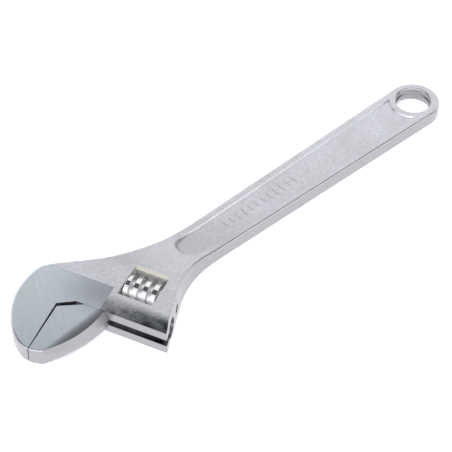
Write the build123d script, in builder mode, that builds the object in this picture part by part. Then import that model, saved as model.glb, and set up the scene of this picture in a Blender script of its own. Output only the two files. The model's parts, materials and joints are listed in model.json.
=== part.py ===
from build123d import *
from math import ceil, cos, pi, radians, sin, tan
import os

# Adjustable wrench, jaws closed. Millimetres.
# Origin: centre of the hang hole, on the mid plane. +X runs along the handle to
# the jaws, +Z comes out of one face, +Y is the side of the movable jaw.
# Points of the head are given in the head's own directions: s along the jaw
# faces, out to their tips, and t along the slide, the way the jaw opens.

# --- handle ---------------------------------------------------------------
END_RADIUS = 12.6            # round end of the handle
END_Y = 0.25                 # its centre, beside the hang hole's
NECK_NEAR_HALF = 9.75        # half width where the handle is narrowest, on the +Y side
NECK_FAR_HALF = 10.75        # and on the -Y side
NECK_X = 140.0               # where it is narrowest
HANDLE_HALF_THICK = 3.6
FORGED_ROUND = 0.9           # rounded edges of the forging
HANG_HOLE_RADIUS = 8.4
HANG_HOLE_ROUND = 0.9
HANG_LAND_RADIUS = 7.8       # ridge round the middle of the hole
HANG_LAND_HALF = 0.6
PANEL_DEPTH = 0.6            # sunk panel, one in each face
PANEL_RIM = 4.3              # rim left beside the panel
PANEL_START = 12.2           # panel's hollow end, from the hole's centre
PANEL_END_X = 150.3
PANEL_CORNER = 5.2
PANEL_SLOPE = 0.85           # slope of the panel's walls: run over rise
PANEL_REACH = 2.2            # how far out the sloping cut is carried, to clear the swell
MARK_COUNT = 12              # plain raised bars in one panel
MARK_PITCH = 3.9
MARK_WIDTH = 1.1
MARK_LENGTH = 4.6
MARK_HEIGHT = 0.15
MARK_X = 102.0               # middle of the row
SWELL_START_X = 134.0        # the handle swells from here to the head
SWELL_END_X = 171.0

# --- head -----------------------------------------------------------------
HEAD_ANGLE = 22.5            # jaw faces against the handle
HEAD_X = 207.5               # where the jaw faces' plane meets the slide's plane
HEAD_Y = -13.7
HEAD_HALF_THICK = 7.25
SLIDE_HALF_THICK = 6.4       # at the slide's plane
TIP_HALF_THICK = 4.45        # at the jaws' tips
JAW_LENGTH = 31.0            # slide's plane to the tips
FACE_START = 4.5             # fixed jaw's face begins here
FACE_LEAN = 0.7              # and has fallen back this much from its tip
THROAT_DEPTH = 6.8           # where the slanted throat meets the slide
RAIL_LENGTH = 50.6           # jaw faces to the rail's end
RAIL_END_ANGLE = 36.5        # rail's end face against the handle
NECK_ROUND = 37.0            # hollow curve from the handle to the rail's end
BACK_ROUND = 62.0            # hollow curve from the handle to the head's back
BACK_ANGLE = -34.0           # the back's straight stretch, against the handle
BACK_MID = (-23.9, 0.8)      # s and t of a point on that stretch
BACK_STRAIGHT = 12.5         # from that point to the start of the jaw's curve
BACK_POINTS = [              # s and t of the fixed jaw's back, from the tip
    (JAW_LENGTH - 3.9, -8.5),
    (JAW_LENGTH - 13.4, -16.0),
    (4.1, -20.0),
    (-8.4, -18.4),
]
CHEEK_END_T = 18.5           # the ground cheeks stop here, beside the rail
ROLL_WIDTH = 9.0             # polished roll-off beside the slide

# --- jaw slide ------------------------------------------------------------
SHANK_RADIUS = 4.6           # round shank of the movable jaw
SHANK_START_T = 1.6
SHANK_END_T = 41.0
SHANK_CHAMFER = 0.6
BORE_CLEARANCE = 0.08        # on the radius
BORE_END_T = 0.6             # blind end of the bore
WEB_HALF_THICK = 1.85        # web between the shank and the jaw
WEB_START_T = 7.6
SLOT_CLEARANCE = 0.1         # on each side of the web
SLOT_START_T = 6.8
SLIDE_CLEARANCE = 0.12       # between the jaw and the rail
JAW_GAP = 0.4                # between the closed jaws
JAW_CORNER_S = 5.8           # its face ends here, at a cut corner
JAW_HEEL_T = 11.0            # where the cut corner meets the slide
JAW_REAR_T = 22.5            # rear corner of the movable jaw
JAW_NOSE_RADIUS = 14.0       # round nose, then one long curve to the rear corner
JAW_NOSE_TURN = 52.0
JAW_ROUND = 0.8              # rounded back edges of the movable jaw
JAW_ROLL = [                 # s and t of the line where the polished roll begins
    (JAW_LENGTH - 3.5, 6.5),
    (0.0, 17.2),
]
JAW_ROLL_WIDTH = 6.0
JAW_ROLL_DROP = 0.9
JAW_FACET = [                # back of the jaw: inset from the widest outline, and height
    (2.5, 7.0),
    (1.7, 5.3),
    (0.0, 1.6),
]

# --- worm, its pin and its spring -------------------------------------------
WORM_RADIUS = 8.0
WORM_LENGTH = 16.4
WORM_PITCH = 4.4             # right-hand, one start
WORM_S = -19.5
WORM_MID_T = 29.6
WORM_CHAMFER = 0.6
THREAD_DEPTH = 2.2
GROOVE_TOP = 2.3             # width of the groove at the worm's outside
GROOVE_ROOT = 1.3
FLATS = 16                   # flat thumb grips across the thread, with a groove between
FLAT_GROOVE_RADIUS = 0.4
THREAD_REACH = 3.0           # the thread cutter, past the worm's outside
WORM_BORE_CLEARANCE = 0.1    # on the radius
WINDOW_SIDE_GAP = 0.55       # window round the worm
WINDOW_END_GAP = 0.3
WINDOW_BEVEL = 1.2           # bevel of the window's edge on the handle's side
PIN_RADIUS = 2.0
PIN_CLEARANCE = 0.06         # on the radius
PIN_BLIND = 4.2              # pin hole beyond the window
PIN_CHAMFER = 0.3
PIN_SLOT_WIDTH = 0.8
PIN_SLOT_DEPTH = 0.9
PIN_RECESS = 1.2             # the pin's slotted head, below the rail's end
SPRING_WIRE = 0.35           # radius of the wire
SPRING_RADIUS = 2.75         # coil's mean radius
SPRING_TURNS = 4
POCKET_RADIUS = 3.5          # spring's pocket in the worm
POCKET_DEPTH = 5.0
SPRING_GAP = 0.35            # spring to the pocket's floor and the window's wall

# --- rack -------------------------------------------------------------------
RACK_SIDE_PLAY = 0.15        # rack tooth in the worm's groove, on each side
RACK_TIP_PLAY = 0.3

# --- worked out -------------------------------------------------------------
FAR = 200.0                  # past the part, for cuts that run right out
s_dir = (cos(radians(HEAD_ANGLE)), sin(radians(HEAD_ANGLE)), 0)
t_dir = (-sin(radians(HEAD_ANGLE)), cos(radians(HEAD_ANGLE)), 0)
end_dir = (cos(radians(RAIL_END_ANGLE)), sin(radians(RAIL_END_ANGLE)))
back_dir = (cos(radians(BACK_ANGLE)), sin(radians(BACK_ANGLE)))
near_taper = (END_Y + END_RADIUS - NECK_NEAR_HALF) / NECK_X
far_taper = (END_RADIUS - END_Y - NECK_FAR_HALF) / NECK_X
cheek_slope = (SLIDE_HALF_THICK - TIP_HALF_THICK) / JAW_LENGTH
cheek_start = (SLIDE_HALF_THICK - HEAD_HALF_THICK) / cheek_slope
bore_radius = SHANK_RADIUS + BORE_CLEARANCE
slot_half = WEB_HALF_THICK + SLOT_CLEARANCE
worm_root = WORM_RADIUS - THREAD_DEPTH
shank_s = WORM_S + worm_root + RACK_TIP_PLAY + SHANK_RADIUS
window_s = 2 * (WORM_RADIUS + WINDOW_SIDE_GAP)
window_t = WORM_LENGTH + 2 * WINDOW_END_GAP
window_start_t = WORM_MID_T - window_t / 2
worm_start_t = WORM_MID_T - WORM_LENGTH / 2
groove_t = worm_start_t - WORM_PITCH       # middle of the groove, facing the rack
rack_tip = shank_s - SHANK_RADIUS - RACK_TIP_PLAY
rack_floor = WORM_S + WORM_RADIUS + RACK_TIP_PLAY
rack_lean = WORM_PITCH / (pi * (WORM_RADIUS + worm_root))
pin_start_t = window_start_t - PIN_BLIND
pin_end_t = RAIL_LENGTH + WORM_S * tan(radians(RAIL_END_ANGLE - HEAD_ANGLE)) - PIN_RECESS
spring_start_t = window_start_t + SPRING_GAP + SPRING_WIRE
spring_end_t = worm_start_t + POCKET_DEPTH - SPRING_GAP - SPRING_WIRE


def head_point(s, t):
    """A point of the head, in the part's own plan."""
    return (HEAD_X + s * s_dir[0] + t * t_dir[0], HEAD_Y + s * s_dir[1] + t * t_dir[1])


def head_plan(z=0.0):
    """Plan of the head at height z: local x is s, local y is t."""
    return Plane(origin=(HEAD_X, HEAD_Y, z), x_dir=s_dir, z_dir=(0, 0, 1))


def head_section(t):
    """Section across the slide: local x is s, local y is z. Its normal runs against t."""
    return Plane(origin=(*head_point(0, t), 0), x_dir=s_dir, z_dir=(-t_dir[0], -t_dir[1], 0))


def slide_axis(s, t):
    """Plane square to the slide, with its normal along t: local x is s."""
    return Plane(origin=(*head_point(s, t), 0), x_dir=s_dir, z_dir=t_dir)


def crossing(point_a, dir_a, point_b, dir_b):
    """Where two lines of the plan cross."""
    gap_x = point_b[0] - point_a[0]
    gap_y = point_b[1] - point_a[1]
    reach = (gap_x * dir_b[1] - gap_y * dir_b[0]) / (dir_a[0] * dir_b[1] - dir_a[1] * dir_b[0])
    return (point_a[0] + reach * dir_a[0], point_a[1] + reach * dir_a[1])


def cheek_half_thick(s):
    """Half thickness between the ground cheeks."""
    return SLIDE_HALF_THICK - cheek_slope * s


def groove_width(radius):
    """Width of the worm's groove at a radius."""
    return GROOVE_ROOT + (GROOVE_TOP - GROOVE_ROOT) * (radius - worm_root) / THREAD_DEPTH


def gap_half(s):
    """Half width of a gap between rack teeth, which fit the worm's groove with play."""
    return (WORM_PITCH - groove_width(s - WORM_S)) / 2 + RACK_SIDE_PLAY


def cheek_waste(side, from_t):
    """Section of what is ground off one face to leave the cheek."""
    with BuildSketch(head_section(from_t)) as waste:
        with BuildLine():
            Polyline(
                (cheek_start, side * HEAD_HALF_THICK),
                (FAR / 4, side * cheek_half_thick(FAR / 4)),
                (FAR / 4, side * FAR / 4),
                (cheek_start, side * FAR / 4),
                close=True,
            )
        make_face()
    return waste.sketch


def panel_outline(side, grow):
    """Outline of the panel, grown outwards by going up its sloping walls from the floor."""
    height = side * (HANDLE_HALF_THICK - PANEL_DEPTH + grow / PANEL_SLOPE)
    near_half = NECK_NEAR_HALF if side > 0 else NECK_FAR_HALF
    far_half = NECK_FAR_HALF if side > 0 else NECK_NEAR_HALF
    start_half = END_RADIUS - PANEL_RIM + grow
    end_x = PANEL_END_X - PANEL_SLOPE * PANEL_DEPTH + grow
    with BuildSketch(Plane(origin=(0, 0, height), x_dir=(1, 0, 0), z_dir=(0, 0, side))) as outline:
        with BuildLine():
            FilletPolyline(
                (0, start_half),
                (end_x, near_half - PANEL_RIM + grow),
                (end_x, PANEL_RIM - far_half - grow),
                (0, -start_half),
                radius=PANEL_CORNER + grow,
                close=True,
            )
        make_face()
        Circle(PANEL_START - grow, mode=Mode.SUBTRACT)
    return outline.sketch


# --- body -------------------------------------------------------------------
end_near = (END_RADIUS * sin(near_taper), END_Y + END_RADIUS * cos(near_taper))
end_far = (END_RADIUS * sin(far_taper), END_Y - END_RADIUS * cos(far_taper))
rail_tip = head_point(0, RAIL_LENGTH)
jaw_tip = head_point(JAW_LENGTH, 0)
neck_corner = crossing(end_near, (1, -near_taper), rail_tip, end_dir)
back_mid = head_point(*BACK_MID)
back_corner = crossing(end_far, (1, far_taper), back_mid, back_dir)
back_foot = (back_mid[0] + BACK_STRAIGHT * back_dir[0], back_mid[1] + BACK_STRAIGHT * back_dir[1])

with BuildPart() as wrench_body:
    # plan of the forging
    with BuildSketch(Plane.XY.offset(-HEAD_HALF_THICK)):
        with BuildLine():
            ThreePointArc(end_far, (-END_RADIUS, END_Y), end_near)
            FilletPolyline(end_near, neck_corner, rail_tip, radius=NECK_ROUND)
            Polyline(rail_tip, head_point(0, THROAT_DEPTH), head_point(FACE_START, -FACE_LEAN), jaw_tip)
            Spline(
                jaw_tip,
                *[head_point(s, t) for s, t in BACK_POINTS],
                back_foot,
                tangents=[(-t_dir[0], -t_dir[1]), (-back_dir[0], -back_dir[1])],
            )
            FilletPolyline(back_foot, back_corner, end_far, radius=BACK_ROUND)
        make_face()
    extrude(amount=2 * HEAD_HALF_THICK)

    # side view: thin handle, swelling to the head
    with BuildSketch(Plane.XZ.offset(-FAR / 2)):
        with BuildLine():
            swell = Spline(
                (SWELL_START_X, HANDLE_HALF_THICK),
                (SWELL_END_X, HEAD_HALF_THICK),
                tangents=[(1, 0), (1, 0)],
            )
            mirror(swell, about=Plane.XZ)
            Polyline(
                (SWELL_START_X, HANDLE_HALF_THICK),
                (-FAR, HANDLE_HALF_THICK),
                (-FAR, -HANDLE_HALF_THICK),
                (SWELL_START_X, -HANDLE_HALF_THICK),
            )
            Polyline(
                (SWELL_END_X, -HEAD_HALF_THICK),
                (2 * FAR, -HEAD_HALF_THICK),
                (2 * FAR, HEAD_HALF_THICK),
                (SWELL_END_X, HEAD_HALF_THICK),
            )
        make_face()
    extrude(amount=FAR, mode=Mode.INTERSECT)

    # ground cheeks, thinner towards the tips
    for side in (1, -1):
        extrude(cheek_waste(side, CHEEK_END_T), amount=FAR, mode=Mode.SUBTRACT)

    # rounded edges, all but those of the slide, the throat and the jaw face
    forged = ShapeList()
    for wall in wrench_body.faces().filter_by(lambda face: abs(face.normal_at().Z) < 0.01):
        middle = head_plan().to_local_coords(wall.center())
        full_height = wall.bounding_box().size.Z > 2 * HANDLE_HALF_THICK - 0.1
        if full_height and (middle.X < -0.5 or middle.Y < -0.5):
            forged += wall.edges().filter_by(lambda edge: abs(edge.tangent_at(0.5).Z) < 0.9)
    fillet(forged, FORGED_ROUND)

    # polished roll-off beside the slide
    for side in (1, -1):
        with BuildSketch(head_section(CHEEK_END_T)):
            with BuildLine():
                roll = TangentArc(
                    (-ROLL_WIDTH, side * HEAD_HALF_THICK),
                    (0, side * SLIDE_HALF_THICK),
                    tangent=(1, 0),
                )
                Polyline(
                    roll @ 1,
                    (1, side * SLIDE_HALF_THICK),
                    (1, side * FAR / 4),
                    (-ROLL_WIDTH, side * FAR / 4),
                    roll @ 0,
                )
            make_face()
        extrude(amount=-FAR, mode=Mode.SUBTRACT)

    # sunk panel in each face, with sloping walls
    for side in (1, -1):
        panel_ends = [panel_outline(side, grow).face() for grow in (0, PANEL_REACH)]
        loft(panel_ends, ruled=True, mode=Mode.SUBTRACT)

    # row of plain raised bars
    with BuildSketch(Plane.XY.offset(HANDLE_HALF_THICK - PANEL_DEPTH)):
        with Locations((MARK_X, (NECK_NEAR_HALF - NECK_FAR_HALF) / 2)):
            with GridLocations(MARK_PITCH, 0, MARK_COUNT, 1):
                RectangleRounded(MARK_WIDTH, MARK_LENGTH, 0.4 * MARK_WIDTH)
    extrude(amount=MARK_HEIGHT)

    # hang hole, with rounded rims and a ridge left round its middle
    Hole(HANG_LAND_RADIUS)
    for side in (1, -1):
        with BuildSketch(Plane(origin=(0, 0, side * HANG_LAND_HALF), z_dir=(0, 0, side))):
            Circle(HANG_HOLE_RADIUS)
        extrude(amount=FAR / 20, mode=Mode.SUBTRACT)
    rims = wrench_body.edges().filter_by(GeomType.CIRCLE).filter_by(
        lambda edge: abs(edge.radius - HANG_HOLE_RADIUS) < 0.01
        and abs(edge.center().Z) > HANDLE_HALF_THICK - 0.01
    )
    fillet(rims, HANG_HOLE_ROUND)

    # jaw slide: blind bore, and the slot that the web runs in
    with BuildSketch(slide_axis(shank_s, BORE_END_T)):
        Circle(bore_radius)
    extrude(amount=FAR, mode=Mode.SUBTRACT)
    with BuildSketch(head_plan(-slot_half)):
        with Locations((shank_s, SLOT_START_T)):
            Rectangle(FAR / 4, FAR, align=(Align.MIN, Align.MIN))
    extrude(amount=2 * slot_half, mode=Mode.SUBTRACT)

    # worm window
    with BuildSketch(head_plan(-FAR / 4)):
        with Locations((WORM_S, WORM_MID_T)):
            Rectangle(window_s, window_t)
    extrude(amount=FAR / 2, mode=Mode.SUBTRACT)
    window_edges = wrench_body.edges().filter_by(
        lambda edge: abs(head_plan().to_local_coords(edge.center()).X - WORM_S + window_s / 2) < 0.01
        and abs(edge.center().Z) > HEAD_HALF_THICK - 0.01
    )
    chamfer(window_edges, WINDOW_BEVEL)

    # pin hole, through the window into a blind end
    with BuildSketch(slide_axis(WORM_S, window_start_t - PIN_BLIND)):
        Circle(PIN_RADIUS + PIN_CLEARANCE)
    extrude(amount=FAR, mode=Mode.SUBTRACT)
wrench_body.part.label = "wrench_body"

# --- movable jaw --------------------------------------------------------------
jaw_corner = (JAW_CORNER_S, JAW_GAP)
jaw_heel = (SLIDE_CLEARANCE, JAW_HEEL_T)
jaw_rear = (SLIDE_CLEARANCE, JAW_REAR_T)
roll_ends = [Vector(*head_point(s, t), cheek_half_thick(s)) for s, t in JAW_ROLL]
roll_run = (roll_ends[0] - roll_ends[1]).normalized()
cheek_normal = Vector(*s_dir[:2], -cheek_slope).cross(Vector(*t_dir))
roll_out = cheek_normal.cross(roll_run)

with BuildPart() as movable_jaw:
    # the jaw outside the rail
    with BuildSketch(head_plan(-HEAD_HALF_THICK)):
        with BuildLine():
            Polyline(jaw_rear, jaw_heel, jaw_corner, (JAW_LENGTH, JAW_GAP))
            nose = JernArc(
                start=(JAW_LENGTH, JAW_GAP),
                tangent=(0, 1),
                radius=JAW_NOSE_RADIUS,
                arc_size=JAW_NOSE_TURN,
            )
            back = TangentArc(nose @ 1, jaw_rear, tangent=nose % 1)
        make_face()
    extrude(amount=2 * HEAD_HALF_THICK)
    for side in (1, -1):
        extrude(cheek_waste(side, FAR / 2), amount=FAR, mode=Mode.SUBTRACT)
    backs = movable_jaw.faces().filter_by(GeomType.CYLINDER).edges()
    fillet(backs.filter_by(lambda edge: abs(edge.tangent_at(0.5).Z) < 0.9), JAW_ROUND)

    # polished roll along the back of each cheek
    with BuildPart(mode=Mode.PRIVATE) as roll_waste:
        with BuildSketch(Plane(origin=roll_ends[0], x_dir=roll_out, z_dir=roll_run)):
            with BuildLine():
                curl = TangentArc((0, 0), (JAW_ROLL_WIDTH, -JAW_ROLL_DROP), tangent=(1, 0))
                Polyline(
                    curl @ 1,
                    (2 * JAW_ROLL_WIDTH, -3 * JAW_ROLL_DROP),
                    (2 * JAW_ROLL_WIDTH, JAW_ROLL_WIDTH),
                    (0, JAW_ROLL_WIDTH),
                    curl @ 0,
                )
            make_face()
        extrude(amount=FAR / 2, both=True)
    add(roll_waste.part, mode=Mode.SUBTRACT)
    add(mirror(roll_waste.part, about=Plane.XY, mode=Mode.PRIVATE), mode=Mode.SUBTRACT)

    # facet along the middle of the back, then the leaning wall below it
    with BuildPart(mode=Mode.PRIVATE) as facet_waste:
        with BuildSketch(Plane.XZ):
            with BuildLine():
                Polyline(
                    *[(back.radius - inset, height) for inset, height in JAW_FACET],
                    (back.radius + JAW_ROLL_WIDTH, JAW_FACET[-1][1]),
                    (back.radius + JAW_ROLL_WIDTH, JAW_FACET[0][1]),
                    close=True,
                )
            make_face()
        revolve(axis=Axis.Z)
    back_centre = head_plan().from_local_coords(back.arc_center)
    facet = facet_waste.part.moved(Location((back_centre.X, back_centre.Y, 0)))
    add(facet, mode=Mode.SUBTRACT)
    add(mirror(facet, about=Plane.XY, mode=Mode.PRIVATE), mode=Mode.SUBTRACT)

    # web through the rail's slot
    with BuildSketch(head_plan(-WEB_HALF_THICK)):
        with BuildLine():
            Polyline(
                (shank_s, WEB_START_T),
                (SLIDE_CLEARANCE, WEB_START_T),
                (JAW_CORNER_S / 2, (JAW_HEEL_T + JAW_REAR_T) / 2),
                (SLIDE_CLEARANCE, JAW_REAR_T),
                (shank_s, JAW_REAR_T),
                close=True,
            )
        make_face()
    extrude(amount=2 * WEB_HALF_THICK)

    # round shank
    with BuildSketch(slide_axis(shank_s, SHANK_START_T)):
        Circle(SHANK_RADIUS)
    extrude(amount=SHANK_END_T - SHANK_START_T)
    shank_ends = movable_jaw.edges().filter_by(GeomType.CIRCLE).filter_by(
        lambda edge: abs(edge.radius - SHANK_RADIUS) < 0.01
    )
    chamfer(shank_ends.sort_by(Axis(head_plan().origin, t_dir))[-1], SHANK_CHAMFER)

    # rack: gaps that lean with the worm's thread
    first_gap = ceil((SHANK_START_T - groove_t) / WORM_PITCH - 1)
    last_gap = ceil((SHANK_END_T - groove_t) / WORM_PITCH)
    for gap in range(first_gap, last_gap):
        gap_t = groove_t + (gap + 0.5) * WORM_PITCH
        lean = (-sin(rack_lean) * t_dir[0], -sin(rack_lean) * t_dir[1], cos(rack_lean))
        with BuildSketch(Plane(origin=(*head_point(0, gap_t), 0), x_dir=s_dir, z_dir=lean)):
            with BuildLine():
                Polyline(
                    (rack_floor, -gap_half(rack_floor)),
                    (rack_floor, gap_half(rack_floor)),
                    (rack_tip, gap_half(rack_tip)),
                    (rack_tip, -gap_half(rack_tip)),
                    close=True,
                )
            make_face()
        extrude(amount=2 * SHANK_RADIUS, both=True, mode=Mode.SUBTRACT)
movable_jaw.part.label = "movable_jaw"

# --- adjusting worm -------------------------------------------------------------
# Made standing on the origin, along +Z with +X towards the rack, then put in place.
with BuildPart() as worm_blank:
    with BuildSketch():
        Circle(WORM_RADIUS)
    extrude(amount=WORM_LENGTH)
    chamfer(worm_blank.edges().filter_by(GeomType.CIRCLE), WORM_CHAMFER)
    with BuildSketch():
        RegularPolygon(WORM_RADIUS, FLATS)
        with PolarLocations(WORM_RADIUS, FLATS):
            Circle(FLAT_GROOVE_RADIUS, mode=Mode.SUBTRACT)
    extrude(amount=WORM_LENGTH, mode=Mode.INTERSECT)

with BuildPart() as adjusting_worm:
    with BuildSketch():
        Circle(WORM_RADIUS)
    extrude(amount=WORM_LENGTH)

    # thread
    with BuildLine():
        thread = Helix(
            pitch=WORM_PITCH,
            height=WORM_LENGTH + 2 * WORM_PITCH,
            radius=WORM_RADIUS,
            center=(0, 0, -WORM_PITCH),
        )
    with BuildSketch(Plane(origin=(0, 0, -WORM_PITCH), z_dir=(0, -1, 0), x_dir=(1, 0, 0))):
        with BuildLine():
            Polyline(
                (worm_root, -groove_width(worm_root) / 2),
                (worm_root, groove_width(worm_root) / 2),
                (worm_root + THREAD_REACH, groove_width(worm_root + THREAD_REACH) / 2),
                (worm_root + THREAD_REACH, -groove_width(worm_root + THREAD_REACH) / 2),
                close=True,
            )
        make_face()
    sweep(path=thread, is_frenet=True, mode=Mode.SUBTRACT)
    add(worm_blank.part, mode=Mode.INTERSECT)

    # bore, and the spring's pocket
    Hole(PIN_RADIUS + WORM_BORE_CLEARANCE)
    with BuildSketch():
        Circle(POCKET_RADIUS)
    extrude(amount=POCKET_DEPTH, mode=Mode.SUBTRACT)
adjusting_worm.part.locate(slide_axis(WORM_S, worm_start_t).location)
adjusting_worm.part.label = "adjusting_worm"

# --- worm pin -------------------------------------------------------------------
with BuildPart() as worm_pin:
    with BuildSketch(slide_axis(WORM_S, pin_start_t)):
        Circle(PIN_RADIUS)
    extrude(amount=pin_end_t - pin_start_t)
    chamfer(worm_pin.edges().filter_by(GeomType.CIRCLE), PIN_CHAMFER)
    with BuildSketch(slide_axis(WORM_S, pin_end_t - PIN_SLOT_DEPTH)):
        Rectangle(4 * PIN_RADIUS, PIN_SLOT_WIDTH)
    extrude(amount=FAR, mode=Mode.SUBTRACT)
worm_pin.part.label = "worm_pin"

# --- worm spring ------------------------------------------------------------------
spring_length = spring_end_t - spring_start_t
coil = slide_axis(WORM_S, spring_start_t) * Helix(
    pitch=spring_length / SPRING_TURNS, height=spring_length, radius=SPRING_RADIUS
)
with BuildPart() as worm_spring:
    with BuildSketch(Plane(origin=coil @ 0, z_dir=coil % 0)):
        Circle(SPRING_WIRE)
    sweep(path=coil, is_frenet=True)
worm_spring.part.label = "worm_spring"

os.makedirs("parts", exist_ok=True)
export_step(wrench_body.part, "parts/wrench_body.step")
export_step(movable_jaw.part, "parts/movable_jaw.step")
export_step(adjusting_worm.part, "parts/adjusting_worm.step")
export_step(worm_pin.part, "parts/worm_pin.step")
export_step(worm_spring.part, "parts/worm_spring.step")
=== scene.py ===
"""Adjustable wrench on a pale floor.

Everything is in metres, in the CAD model's own frame. Only the head's own s and t, which place
the finishes, are in millimetres.
"""

import json
import math

import bpy
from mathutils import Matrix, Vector


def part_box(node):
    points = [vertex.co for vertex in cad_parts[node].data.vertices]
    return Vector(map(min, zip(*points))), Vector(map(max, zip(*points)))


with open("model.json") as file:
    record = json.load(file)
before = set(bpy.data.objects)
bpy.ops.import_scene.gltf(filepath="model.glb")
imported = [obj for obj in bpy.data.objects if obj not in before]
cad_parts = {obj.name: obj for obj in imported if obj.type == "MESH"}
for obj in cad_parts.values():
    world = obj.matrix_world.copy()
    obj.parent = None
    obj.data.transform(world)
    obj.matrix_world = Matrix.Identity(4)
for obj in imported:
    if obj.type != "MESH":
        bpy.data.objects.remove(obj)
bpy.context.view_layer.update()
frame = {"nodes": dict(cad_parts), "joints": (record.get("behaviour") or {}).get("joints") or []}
nodes = frame["nodes"]

# The head's directions and datum: s runs out along the jaw faces, t along the slide.
slide = next(joint for joint in frame["joints"] if joint["name"] == "jaw_slide")
T_DIR = Vector(slide["axis"]).normalized()
S_DIR = Vector((T_DIR.y, -T_DIR.x, 0.0))
HEAD_ORIGIN = Vector((0.2075, -0.0137, 0.0))
MM = 1000.0                   # to a metre

# --- camera -----------------------------------------------------------------
CAMERA_AZIMUTH = math.radians(137.72)
CAMERA_ELEVATION = math.radians(46.48)
CAMERA_DISTANCE = 0.770
CAMERA_AIM = Vector((0.1225, -0.0014, 0.0))
CAMERA_LENS = 134.04
CAMERA_SENSOR = 36.0
CAMERA_REACH = 50.0


def camera_side():
    """Level direction from the object towards the camera."""
    return Vector((math.sin(CAMERA_AZIMUTH), -math.cos(CAMERA_AZIMUTH), 0.0))


def make_camera():
    data = bpy.data.cameras.new("camera")
    data.lens = CAMERA_LENS
    data.sensor_width = CAMERA_SENSOR
    data.clip_end = CAMERA_REACH
    camera = bpy.data.objects.new("camera", data)
    bpy.context.scene.collection.objects.link(camera)
    lift = Vector((0.0, 0.0, math.sin(CAMERA_ELEVATION)))
    away = camera_side() * math.cos(CAMERA_ELEVATION) + lift
    camera.location = CAMERA_AIM + away * CAMERA_DISTANCE
    camera.rotation_euler = (CAMERA_AIM - camera.location).to_track_quat("-Z", "Y").to_euler()
    bpy.context.scene.camera = camera


# --- node helpers -------------------------------------------------------------
def new_material(name):
    material = bpy.data.materials.new(name)
    material.use_nodes = True
    tree = material.node_tree
    tree.nodes.clear()
    output = tree.nodes.new("ShaderNodeOutputMaterial")
    shader = tree.nodes.new("ShaderNodeBsdfPrincipled")
    tree.links.new(shader.outputs["BSDF"], output.inputs["Surface"])
    return material, tree, shader


def new_metal(name):
    material, tree, shader = new_material(name)
    shader.inputs["Metallic"].default_value = 1.0
    return material, tree, shader


def feed(tree, socket, value):
    """Set a socket to a plain value, or link it to another node's output."""
    if isinstance(value, (int, float, tuple)):
        socket.default_value = value
    else:
        tree.links.new(value, socket)


def math_node(tree, operation, *values):
    node = tree.nodes.new("ShaderNodeMath")
    node.operation = operation
    for socket, value in zip(node.inputs, values):
        feed(tree, socket, value)
    return node.outputs[0]


def both(tree, a, b):
    """Overlap of two masks, or a mask at part strength."""
    return math_node(tree, "MULTIPLY", a, b)


def opposite(tree, mask):
    return math_node(tree, "SUBTRACT", 1.0, mask)


def sloped(tree, mask, slope, start):
    """The value start where the mask is 0, and start + slope where it is 1."""
    return math_node(tree, "MULTIPLY_ADD", mask, slope, start)


def map_range(tree, value, low, high, to_low=0.0, to_high=1.0):
    """Smooth step of a value, from to_low at low to to_high at high."""
    node = tree.nodes.new("ShaderNodeMapRange")
    node.interpolation_type = "SMOOTHSTEP"
    tree.links.new(value, node.inputs["Value"])
    node.inputs["From Min"].default_value = low
    node.inputs["From Max"].default_value = high
    node.inputs["To Min"].default_value = to_low
    node.inputs["To Max"].default_value = to_high
    return node.outputs["Result"]


def mix_colour(tree, factor, a, b):
    node = tree.nodes.new("ShaderNodeMix")
    node.data_type = "RGBA"
    factor_in, colour_a, colour_b = node.inputs[0], node.inputs[6], node.inputs[7]
    feed(tree, factor_in, factor)
    feed(tree, colour_a, a)
    feed(tree, colour_b, b)
    return node.outputs[2]


def noise(tree, vector, scale, detail, rough):
    node = tree.nodes.new("ShaderNodeTexNoise")
    node.inputs["Scale"].default_value = scale
    node.inputs["Detail"].default_value = detail
    node.inputs["Roughness"].default_value = rough
    tree.links.new(vector, node.inputs["Vector"])
    return node.outputs["Fac"]


def stretched(tree, position, angle, along, across):
    """Coordinates drawn out along one direction of the plan, for brushed and ground lines."""
    mapping = tree.nodes.new("ShaderNodeMapping")
    mapping.vector_type = "TEXTURE"
    tree.links.new(position, mapping.inputs["Vector"])
    mapping.inputs["Rotation"].default_value = (0.0, 0.0, angle)
    mapping.inputs["Scale"].default_value = (along, across, across)
    return mapping.outputs["Vector"]


def dot_product(tree, vector, direction):
    node = tree.nodes.new("ShaderNodeVectorMath")
    node.operation = "DOT_PRODUCT"
    tree.links.new(vector, node.inputs[0])
    node.inputs[1].default_value = direction
    return node.outputs["Value"]


def height_of(tree, vector):
    """A vector's own Z."""
    split = tree.nodes.new("ShaderNodeSeparateXYZ")
    tree.links.new(vector, split.inputs[0])
    return split.outputs["Z"]


def bump(tree, shader, height, distance, strength):
    node = tree.nodes.new("ShaderNodeBump")
    node.inputs["Distance"].default_value = distance
    node.inputs["Strength"].default_value = strength
    tree.links.new(height, node.inputs["Height"])
    tree.links.new(node.outputs["Normal"], shader.inputs["Normal"])


# --- world and floor ------------------------------------------------------------
SKY_STRENGTH = 1.12
SKY_TINT = (1.0, 0.995, 0.99)
# Brightness by angle: 0 is level behind the object, 0.5 overhead, 1 level on the camera's side.
SKY_STOPS = [
    (0.00, 0.78),
    (0.15, 0.95),
    (0.262, 1.00),
    (0.292, 0.78),
    (0.325, 0.30),
    (0.36, 0.08),
    (0.47, 0.08),
    (0.53, 0.55),
    (0.60, 1.10),
    (0.72, 1.70),
    (0.83, 1.70),
    (0.93, 0.80),
    (1.00, 0.80),
]
FLOOR_HALF = 6.0
FLOOR_WHITE = (0.9, 0.9, 0.9, 1.0)
FLOOR_ROUGH = 0.9
FLOOR_GLOW = 0.56


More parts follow.
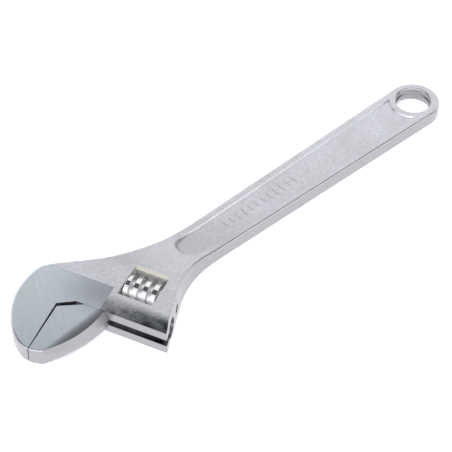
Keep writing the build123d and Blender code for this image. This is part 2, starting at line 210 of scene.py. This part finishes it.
def make_world():
    """Studio sky: pale behind the object, dark overhead, brightest high on the camera's side."""
    world = bpy.data.worlds.new("studio")
    bpy.context.scene.world = world
    world.use_nodes = True
    tree = world.node_tree
    tree.nodes.clear()
    output = tree.nodes.new("ShaderNodeOutputWorld")
    background = tree.nodes.new("ShaderNodeBackground")
    tree.links.new(background.outputs[0], output.inputs[0])
    coords = tree.nodes.new("ShaderNodeTexCoord").outputs["Generated"]
    behind = math_node(tree, "MULTIPLY", dot_product(tree, coords, camera_side()), -1.0)
    turn = math_node(tree, "ARCTAN2", height_of(tree, coords), behind)
    ramp = tree.nodes.new("ShaderNodeValToRGB")
    ramp.color_ramp.interpolation = "EASE"
    elements = ramp.color_ramp.elements
    while len(elements) < len(SKY_STOPS):
        elements.new(0.5)
    for element, (place, value) in zip(elements, SKY_STOPS):
        element.position = place
        element.color = (*(value * tint for tint in SKY_TINT), 1.0)
    tree.links.new(math_node(tree, "DIVIDE", turn, math.pi), ramp.inputs[0])
    tree.links.new(ramp.outputs[0], background.inputs["Color"])
    background.inputs["Strength"].default_value = SKY_STRENGTH


def make_floor():
    """Pale floor at the foot of the worm, which is the wrench's lowest piece."""
    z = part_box("adjusting_worm")[0].z
    corner_signs = ((-1, -1), (1, -1), (1, 1), (-1, 1))
    mesh = bpy.data.meshes.new("floor")
    mesh.from_pydata([(x * FLOOR_HALF, y * FLOOR_HALF, z) for x, y in corner_signs], [], [(0, 1, 2, 3)])
    floor = bpy.data.objects.new("floor", mesh)
    bpy.context.scene.collection.objects.link(floor)
    material, _, shader = new_material("floor_white")
    shader.inputs["Base Color"].default_value = FLOOR_WHITE
    shader.inputs["Roughness"].default_value = FLOOR_ROUGH
    shader.inputs["Emission Color"].default_value = (1.0, 1.0, 1.0, 1.0)
    shader.inputs["Emission Strength"].default_value = FLOOR_GLOW
    mesh.materials.append(material)


# --- places of the finishes and of the painted shade and reflection, in s and t -----
WORM_S = -19.5
WORM_MID_T = 29.6
WINDOW_S_FADE = (10.6, 10.0)          # from the window's middle, outside to inside
WINDOW_T_FADE = (9.6, 9.1)
CHEEK_END_T = 18.5                    # the body's cheek stops at its boss
CHEEK_S_FADE = (-14.2, -12.6)
HEEL_SHADE_S_FADE = (8.0, -9.0)            # painted shade, darker towards the heel of the jaws
HEEL_SHADE_T_FADE = (-12.0, 17.0)
NECK_HEAD_FADE = (-22.0, -32.0)
NECK_HANDLE_FADE = (-80.0, -55.0)
ROLL_S_FADE = (-9.5, -4.0)
ROLL_T_FADE = (17.0, 19.0)
ROLL_REFLECTION_T = (18.0, 44.0)           # the painted dark reflection on the roll deepens along these
ROLL_REFLECTION_DEPTH = (0.40, 1.0)
LAND_FADE = (7.55, 7.75)              # radius of the worm, groove to land

# --- places of the finishes and of the painted wall shade, by how squarely a face looks along Z ---
FLAT_FADE = (0.90, 0.97)
WALL_SHADE_FADE = (0.45, 0.78)
WINDOW_UP_FADE = (0.80, 0.95)
BEVEL_UP_FADE = (0.3, 0.6)

# --- colours and gloss --------------------------------------------------------------
FORGED_DARK = (0.655, 0.67, 0.715, 1.0)
FORGED_LIGHT = (0.74, 0.75, 0.81, 1.0)
# painted shade: the walls' darker grey, set by how far a face turns from Z
WALL_SHADE_GREY = (0.385, 0.38, 0.40, 1.0)
FORGED_ROUGH = 0.30
NECK_GREY = (0.52, 0.53, 0.56, 1.0)
NECK_STRENGTH = 0.50
SPECK_GREY = (0.40, 0.41, 0.44, 1.0)
SPECK_STRENGTH = 0.30
GROUND_DARK = (0.72, 0.78, 0.86, 1.0)
GROUND_LIGHT = (0.80, 0.86, 0.95, 1.0)
# painted shade near the heel of the jaws
HEEL_SHADE_GREY = (0.42, 0.45, 0.50, 1.0)
HEEL_SHADE_STRENGTH = 0.85
GROUND_GLOSS = 0.06                   # how much smoother than the forging
GROUND_GRAIN_LOSS = 0.75
# painted dark reflection on the rail's rounded edge
ROLL_PAINTED_REFLECTION = (0.11, 0.12, 0.14, 1.0)
POLISH_LIGHT = (0.80, 0.82, 0.86, 1.0)
POLISH_GLOSS = 0.10
SCRATCH_STRENGTH = 0.55
WINDOW_TAN = (0.47, 0.455, 0.41, 1.0)
WINDOW_GREY = (0.68, 0.675, 0.665, 1.0)
WINDOW_METAL_LOSS = 0.5
LAND_CHROME = (0.84, 0.85, 0.87, 1.0)
LAND_ROUGH = 0.14
GROOVE_CHROME = (0.86, 0.86, 0.88, 1.0)
GROOVE_ROUGH = 0.42
PIN_GREY = (0.5, 0.5, 0.5, 1.0)
PIN_ROUGH = 0.3
SPRING_GREY = (0.4, 0.4, 0.4, 1.0)
SPRING_ROUGH = 0.35

# --- grain: noise scale, detail and roughness --------------------------------------------
CLOUDS = (55.0, 4.0, 0.6)
CLOUD_FADE = (0.3, 0.7)
SPECKS = (800.0, 3.0, 0.7)
SPECK_FADE = (0.62, 0.42)
GRAIN = (620.0, 4.0, 0.6)
WORM_GRAIN = (900.0, 3.0, 0.55)
GRIND = (1.0, 3.0, 0.6)
GRIND_LINES = (math.radians(62.0), 0.030, 0.0006)      # direction, length, width
GRIND_FADE = (0.2, 0.8)
GRIND_HEIGHT = 0.4
SCRATCH = (1.0, 4.0, 0.8)
SCRATCH_LINES = (0.9, 0.0016, 0.0003)                  # the same, direction in radians
SCRATCH_FADE = (0.36, 0.76)
SCRATCH_HEIGHT = 1.4
BLOTCH = (150.0, 2.0, 0.5)
BLOTCH_FADE = (0.30, 0.60)
STEEL_BUMP = (0.00005, 0.7)           # distance, strength
WORM_BUMP = (0.00003, 0.35)


# --- materials --------------------------------------------------------------------
def object_coords(tree):
    return tree.nodes.new("ShaderNodeTexCoord").outputs["Object"]


def head_coord(tree, position, direction):
    """Each point's s or t, in millimetres."""
    shifted = tree.nodes.new("ShaderNodeVectorMath")
    shifted.operation = "SUBTRACT"
    tree.links.new(position, shifted.inputs[0])
    shifted.inputs[1].default_value = HEAD_ORIGIN
    return dot_product(tree, shifted.outputs["Vector"], direction * MM)


def facing_up(tree):
    """1 on the two flat sides, 0 on the walls."""
    geometry = tree.nodes.new("ShaderNodeNewGeometry")
    to_object = tree.nodes.new("ShaderNodeVectorTransform")
    to_object.vector_type = "NORMAL"
    to_object.convert_from = "WORLD"
    to_object.convert_to = "OBJECT"
    tree.links.new(geometry.outputs["True Normal"], to_object.inputs[0])
    return math_node(tree, "ABSOLUTE", height_of(tree, to_object.outputs[0]))


def distance_from(tree, value, middle):
    return math_node(tree, "ABSOLUTE", math_node(tree, "SUBTRACT", value, middle))


class Steel:
    """Chromed steel, built up in layers: each method lays one finish, some with painted shade, over those
    before it.
    """

    def __init__(self, name):
        self.material, self.tree, self.shader = new_metal(name)
        self.position = object_coords(self.tree)
        self.s = head_coord(self.tree, self.position, S_DIR)
        self.t = head_coord(self.tree, self.position, T_DIR)
        self.up = facing_up(self.tree)
        self.flat = map_range(self.tree, self.up, *FLAT_FADE)

    def blend(self, mask, colour):
        self.colour = mix_colour(self.tree, mask, self.colour, colour)

    def raise_by(self, mask, amount):
        self.height = math_node(self.tree, "ADD", self.height, both(self.tree, mask, amount))

    def tumbled(self):
        """Forged skin with broad soft clouds, a greyer neck, painted shade on the walls and fine specks."""
        tree = self.tree
        clouds = noise(tree, self.position, *CLOUDS)
        self.colour = mix_colour(tree, map_range(tree, clouds, *CLOUD_FADE), FORGED_DARK, FORGED_LIGHT)
        neck_start = map_range(tree, self.s, *NECK_HEAD_FADE)
        neck = both(tree, neck_start, map_range(tree, self.s, *NECK_HANDLE_FADE))
        self.blend(both(tree, neck, NECK_STRENGTH), NECK_GREY)
        # painted shade: walls darkened by how far they turn away from Z
        self.blend(opposite(tree, map_range(tree, self.up, *WALL_SHADE_FADE)), WALL_SHADE_GREY)
        specks = noise(tree, self.position, *SPECKS)
        self.blend(map_range(tree, specks, *SPECK_FADE, 0.0, SPECK_STRENGTH), SPECK_GREY)
        self.height = noise(tree, self.position, *GRAIN)

    def ground_cheeks(self, end_t=None):
        """Cheeks ground with long fine lines, with painted shade towards the heel of the jaws, as far as
        end_t if one is given.
        """
        tree = self.tree
        cheek = both(tree, map_range(tree, self.s, *CHEEK_S_FADE), self.flat)
        if end_t is not None:
            cheek = both(tree, cheek, math_node(tree, "LESS_THAN", self.t, end_t))
        lines = noise(tree, stretched(tree, self.position, *GRIND_LINES), *GRIND)
        tone = mix_colour(tree, map_range(tree, lines, *GRIND_FADE), GROUND_DARK, GROUND_LIGHT)
        # painted shade: the cheeks darkened towards the heel of the jaws
        heel_shade = both(tree, map_range(tree, self.s, *HEEL_SHADE_S_FADE), map_range(tree, self.t, *HEEL_SHADE_T_FADE))
        tone = mix_colour(tree, both(tree, heel_shade, HEEL_SHADE_STRENGTH), tone, HEEL_SHADE_GREY)
        self.blend(cheek, tone)
        self.rough = sloped(tree, cheek, -GROUND_GLOSS, FORGED_ROUGH)
        self.height = both(tree, self.height, sloped(tree, cheek, -GROUND_GRAIN_LOSS, 1.0))
        self.raise_by(both(tree, lines, cheek), GRIND_HEIGHT)

    def polished_roll_with_painted_reflection(self):
        """Polished rail's rounded edge, with a painted dark reflection along it and short bright scratches.
        """
        tree = self.tree
        band = both(tree, map_range(tree, self.s, *ROLL_S_FADE), map_range(tree, self.t, *ROLL_T_FADE))
        band = both(tree, band, self.flat)
        scratch = noise(tree, stretched(tree, self.position, *SCRATCH_LINES), *SCRATCH)
        blotch = noise(tree, self.position, *BLOTCH)
        marks = both(tree, map_range(tree, scratch, *SCRATCH_FADE), map_range(tree, blotch, *BLOTCH_FADE))
        marks = both(tree, marks, band)
        # painted reflection: the roll darkened, more so further along t
        reflection_depth = map_range(tree, self.t, *ROLL_REFLECTION_T, *ROLL_REFLECTION_DEPTH)
        self.blend(both(tree, band, reflection_depth), ROLL_PAINTED_REFLECTION)
        self.blend(both(tree, marks, SCRATCH_STRENGTH), POLISH_LIGHT)
        self.raise_by(marks, SCRATCH_HEIGHT)
        self.rough = math_node(tree, "SUBTRACT", self.rough, both(tree, band, POLISH_GLOSS))

    def window_walls(self):
        """Duller walls inside the worm's window, with a tan bevel."""
        tree = self.tree
        from_s = distance_from(tree, self.s, WORM_S)
        from_t = distance_from(tree, self.t, WORM_MID_T)
        inside = both(tree, map_range(tree, from_s, *WINDOW_S_FADE), map_range(tree, from_t, *WINDOW_T_FADE))
        window = both(tree, inside, opposite(tree, map_range(tree, self.up, *WINDOW_UP_FADE)))
        bevel = map_range(tree, self.up, *BEVEL_UP_FADE)
        self.blend(window, mix_colour(tree, bevel, WINDOW_GREY, WINDOW_TAN))
        metal = opposite(tree, both(tree, window, WINDOW_METAL_LOSS))
        tree.links.new(metal, self.shader.inputs["Metallic"])

    def finish(self):
        self.tree.links.new(self.colour, self.shader.inputs["Base Color"])
        self.tree.links.new(self.rough, self.shader.inputs["Roughness"])
        bump(self.tree, self.shader, self.height, *STEEL_BUMP)
        return self.material


def body_steel():
    steel = Steel("forged_steel")
    steel.tumbled()
    steel.ground_cheeks(CHEEK_END_T)
    steel.polished_roll_with_painted_reflection()
    steel.window_walls()
    return steel.finish()


def jaw_steel():
    steel = Steel("jaw_steel")
    steel.tumbled()
    steel.ground_cheeks()
    return steel.finish()


def worm_chrome():
    """Bright chrome on the worm's lands, duller down in its groove."""
    material, tree, shader = new_metal("worm_chrome")
    position = object_coords(tree)
    x = math_node(tree, "SUBTRACT", head_coord(tree, position, S_DIR), WORM_S)
    z = math_node(tree, "MULTIPLY", height_of(tree, position), MM)
    radius = math_node(tree, "SQRT", math_node(tree, "ADD", both(tree, x, x), both(tree, z, z)))
    land = map_range(tree, radius, *LAND_FADE)
    tree.links.new(mix_colour(tree, land, GROOVE_CHROME, LAND_CHROME), shader.inputs["Base Color"])
    rough = map_range(tree, land, 0.0, 1.0, GROOVE_ROUGH, LAND_ROUGH)
    tree.links.new(rough, shader.inputs["Roughness"])
    bump(tree, shader, noise(tree, position, *WORM_GRAIN), *WORM_BUMP)
    return material


def plain_metal(name, colour, roughness):
    material, _, shader = new_metal(name)
    shader.inputs["Base Color"].default_value = colour
    shader.inputs["Roughness"].default_value = roughness
    return material


def paint(node, material):
    mesh = nodes[node].data
    mesh.materials.clear()
    mesh.materials.append(material)


# --- put together -------------------------------------------------------------------
bpy.context.scene.view_settings.view_transform = "Standard"
make_camera()
make_world()
make_floor()
paint("wrench_body", body_steel())
paint("movable_jaw", jaw_steel())
paint("adjusting_worm", worm_chrome())
paint("worm_pin", plain_metal("pin_steel", PIN_GREY, PIN_ROUGH))
paint("worm_spring", plain_metal("spring_steel", SPRING_GREY, SPRING_ROUGH))
